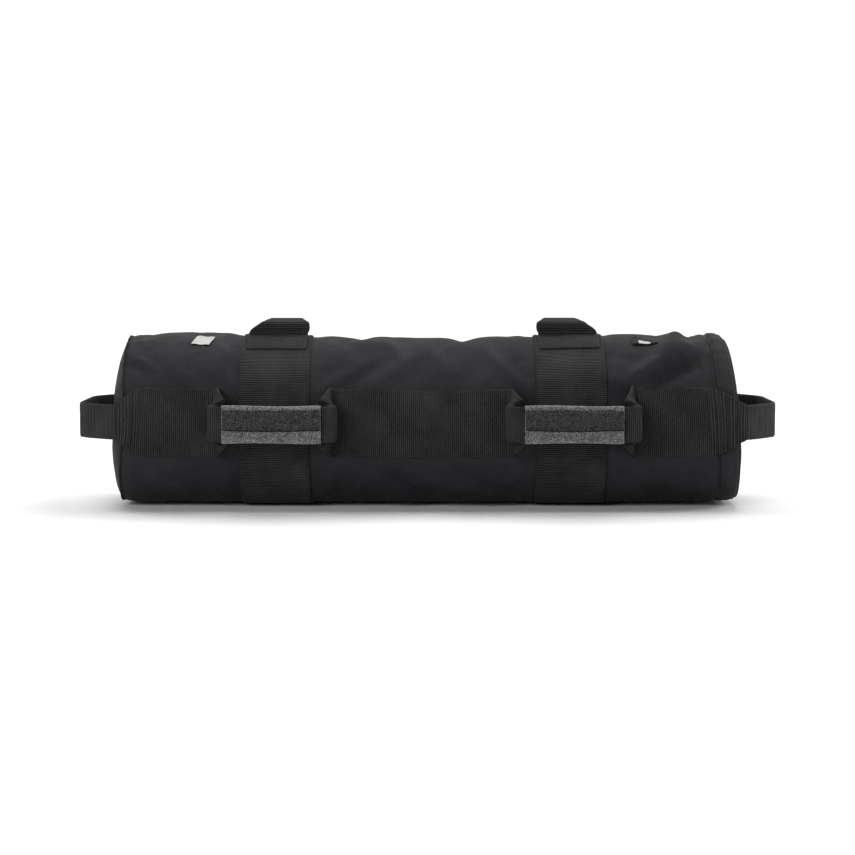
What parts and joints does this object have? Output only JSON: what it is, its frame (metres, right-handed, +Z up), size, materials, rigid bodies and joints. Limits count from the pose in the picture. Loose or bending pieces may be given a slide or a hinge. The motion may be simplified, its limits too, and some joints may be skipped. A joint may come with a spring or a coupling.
{
  "type": "training sandbag",
  "caption": "Cylindrical black fabric training sandbag with a zipped round lid, sewn webbing bands, and wrapped and bare webbing carry handles all round.",
  "frame": {"origin": "centre of the bag's overall footprint, on the floor under the two webbing bands", "axes": "+X along the bag towards the zipped lid, +Y from the front row of handles to the back row, +Z up"},
  "size_m": [0.7752, 0.2808, 0.2125],
  "materials": {
    "shell_fabric": "matt tightly woven nylon",
    "webbing": "matt ribbed polyester webbing",
    "grip_wrap": "grey brushed loop fabric",
    "binding_tape": "matt tape",
    "label": "white woven label, blank",
    "zip": "black coil zip",
    "zip_metal": "black painted metal",
    "filler_fabric": "coated nylon",
    "closure_strip": "hook-and-loop tape",
    "sand": "dry silica sand"
  },
  "bodies": {
    "root": {"back_panel_centre": "webbing", "back_panel_closed_end": "webbing", "back_panel_zip_end": "webbing", "band_closed_side": "webbing", "band_zip_side": "webbing", "closed_end_binding": "binding_tape", "closed_end_panel": "shell_fabric", "filler_bag": "filler_fabric", "filler_hook_strip": "closure_strip", "filler_loop_strip": "closure_strip", "filler_neck": "filler_fabric", "filler_pull_loop": "webbing", "front_panel_centre": "webbing", "front_panel_closed_end": "webbing", "front_panel_zip_end": "webbing", "lid_lower_panel": "shell_fabric", "lid_lower_rim": "shell_fabric", "loop_tab": "webbing", "loop_tab_patch": "label", "sand_fill": "sand", "shell_tube": "shell_fabric", "top_handle_closed_side_feet": "webbing", "top_handle_zip_side_feet": "webbing", "woven_label": "label", "zip_lid_half_lower": "zip", "zip_shell_half": "zip", "zip_stops": "zip"},
    "lid_top": {"lid_panel": "shell_fabric", "lid_rim": "shell_fabric", "zip_lid_half": "zip"},
    "slider": {"zip_slider": "zip_metal"},
    "pull": {"zip_pull": "zip_metal"},
    "front_handle_closed_side": {"front_handle_closed_side_webbing": "webbing", "front_handle_closed_side_wrap": "grip_wrap"},
    "front_handle_closed_side_flap": {"front_handle_closed_side_flap": "grip_wrap"},
    "front_handle_zip_side": {"front_handle_zip_side_webbing": "webbing", "front_handle_zip_side_wrap": "grip_wrap"},
    "front_handle_zip_side_flap": {"front_handle_zip_side_flap": "grip_wrap"},
    "back_handle_closed_side": {"back_handle_closed_side_webbing": "webbing", "back_handle_closed_side_wrap": "grip_wrap"},
    "back_handle_closed_side_flap": {"back_handle_closed_side_flap": "grip_wrap"},
    "back_handle_zip_side": {"back_handle_zip_side_webbing": "webbing", "back_handle_zip_side_wrap": "grip_wrap"},
    "back_handle_zip_side_flap": {"back_handle_zip_side_flap": "grip_wrap"},
    "closed_end_handle": {"closed_end_handle_legs": "webbing", "closed_end_handle_grip": "webbing"},
    "zip_end_handle": {"zip_end_handle_legs": "webbing", "zip_end_handle_grip": "webbing"},
    "top_handle_closed_side": {"top_handle_closed_side_legs": "webbing", "top_handle_closed_side_grip": "webbing"},
    "top_handle_zip_side": {"top_handle_zip_side_legs": "webbing", "top_handle_zip_side_grip": "webbing"}
  },
  "joints": [
    {"name": "lid_fold", "type": "hinge", "parent": "root", "child": "lid_top", "pos_m": [0.34506, 0, 0.13821], "axis": [0, 1, 0], "range_deg": [0, 90]},
    {"name": "zip_slide", "type": "hinge", "parent": "root", "child": "slider", "pos_m": [0.3175, 0, 0.09011], "axis": [1, 0, 0], "range_deg": [0, 261]},
    {"name": "pull_swing", "type": "hinge", "parent": "slider", "child": "pull", "pos_m": [0.3175, 0.08599, 0.03638], "axis": [1, 0, 0], "range_deg": [-30, 110]},
    {"name": "front_handle_closed_side_swing", "type": "hinge", "parent": "root", "child": "front_handle_closed_side", "pos_m": [-0.167, -0.09767, 0.09811], "axis": [-1, 0, 0], "range_deg": [-50, 50], "stiffness_Nm_per_rad": 0.3, "deforming": ["front_handle_closed_side_webbing"]},
    {"name": "front_handle_closed_side_flap_peel", "type": "hinge", "parent": "front_handle_closed_side", "child": "front_handle_closed_side_flap", "pos_m": [-0.167, -0.13967, 0.11441], "axis": [-1, 0, 0], "range_deg": [0, 120]},
    {"name": "front_handle_zip_side_swing", "type": "hinge", "parent": "root", "child": "front_handle_zip_side", "pos_m": [0.157, -0.09767, 0.09811], "axis": [-1, 0, 0], "range_deg": [-50, 50], "stiffness_Nm_per_rad": 0.3, "deforming": ["front_handle_zip_side_webbing"]},
    {"name": "front_handle_zip_side_flap_peel", "type": "hinge", "parent": "front_handle_zip_side", "child": "front_handle_zip_side_flap", "pos_m": [0.157, -0.13967, 0.11441], "axis": [-1, 0, 0], "range_deg": [0, 120]},
    {"name": "back_handle_closed_side_swing", "type": "hinge", "parent": "root", "child": "back_handle_closed_side", "pos_m": [-0.167, 0.09767, 0.09811], "axis": [1, 0, 0], "range_deg": [-50, 50], "stiffness_Nm_per_rad": 0.3, "deforming": ["back_handle_closed_side_webbing"]},
    {"name": "back_handle_closed_side_flap_peel", "type": "hinge", "parent": "back_handle_closed_side", "child": "back_handle_closed_side_flap", "pos_m": [-0.167, 0.13967, 0.11441], "axis": [1, 0, 0], "range_deg": [0, 120]},
    {"name": "back_handle_zip_side_swing", "type": "hinge", "parent": "root", "child": "back_handle_zip_side", "pos_m": [0.157, 0.09767, 0.09811], "axis": [1, 0, 0], "range_deg": [-50, 50], "stiffness_Nm_per_rad": 0.3, "deforming": ["back_handle_zip_side_webbing"]},
    {"name": "back_handle_zip_side_flap_peel", "type": "hinge", "parent": "back_handle_zip_side", "child": "back_handle_zip_side_flap", "pos_m": [0.157, 0.13967, 0.11441], "axis": [1, 0, 0], "range_deg": [0, 120]},
    {"name": "closed_end_handle_swing", "type": "hinge", "parent": "root", "child": "closed_end_handle", "pos_m": [-0.314, 0, 0.09811], "axis": [0, -1, 0], "range_deg": [-35, 35], "stiffness_Nm_per_rad": 0.4, "deforming": ["closed_end_handle_legs"]},
    {"name": "zip_end_handle_swing", "type": "hinge", "parent": "root", "child": "zip_end_handle", "pos_m": [0.308, 0, 0.09811], "axis": [0, 1, 0], "range_deg": [-35, 35], "stiffness_Nm_per_rad": 0.4, "deforming": ["zip_end_handle_legs"]},
    {"name": "top_handle_closed_side_swing", "type": "hinge", "parent": "root", "child": "top_handle_closed_side", "pos_m": [-0.167, 0.03159, 0.17032], "axis": [0, 0.9304, -0.3665], "range_deg": [-28, 28], "stiffness_Nm_per_rad": 0.3, "deforming": ["top_handle_closed_side_legs"]},
    {"name": "top_handle_zip_side_swing", "type": "hinge", "parent": "root", "child": "top_handle_zip_side", "pos_m": [0.157, 0.03159, 0.17032], "axis": [0, 0.9304, -0.3665], "range_deg": [-28, 28], "stiffness_Nm_per_rad": 0.3, "deforming": ["top_handle_zip_side_legs"]}
  ]
}
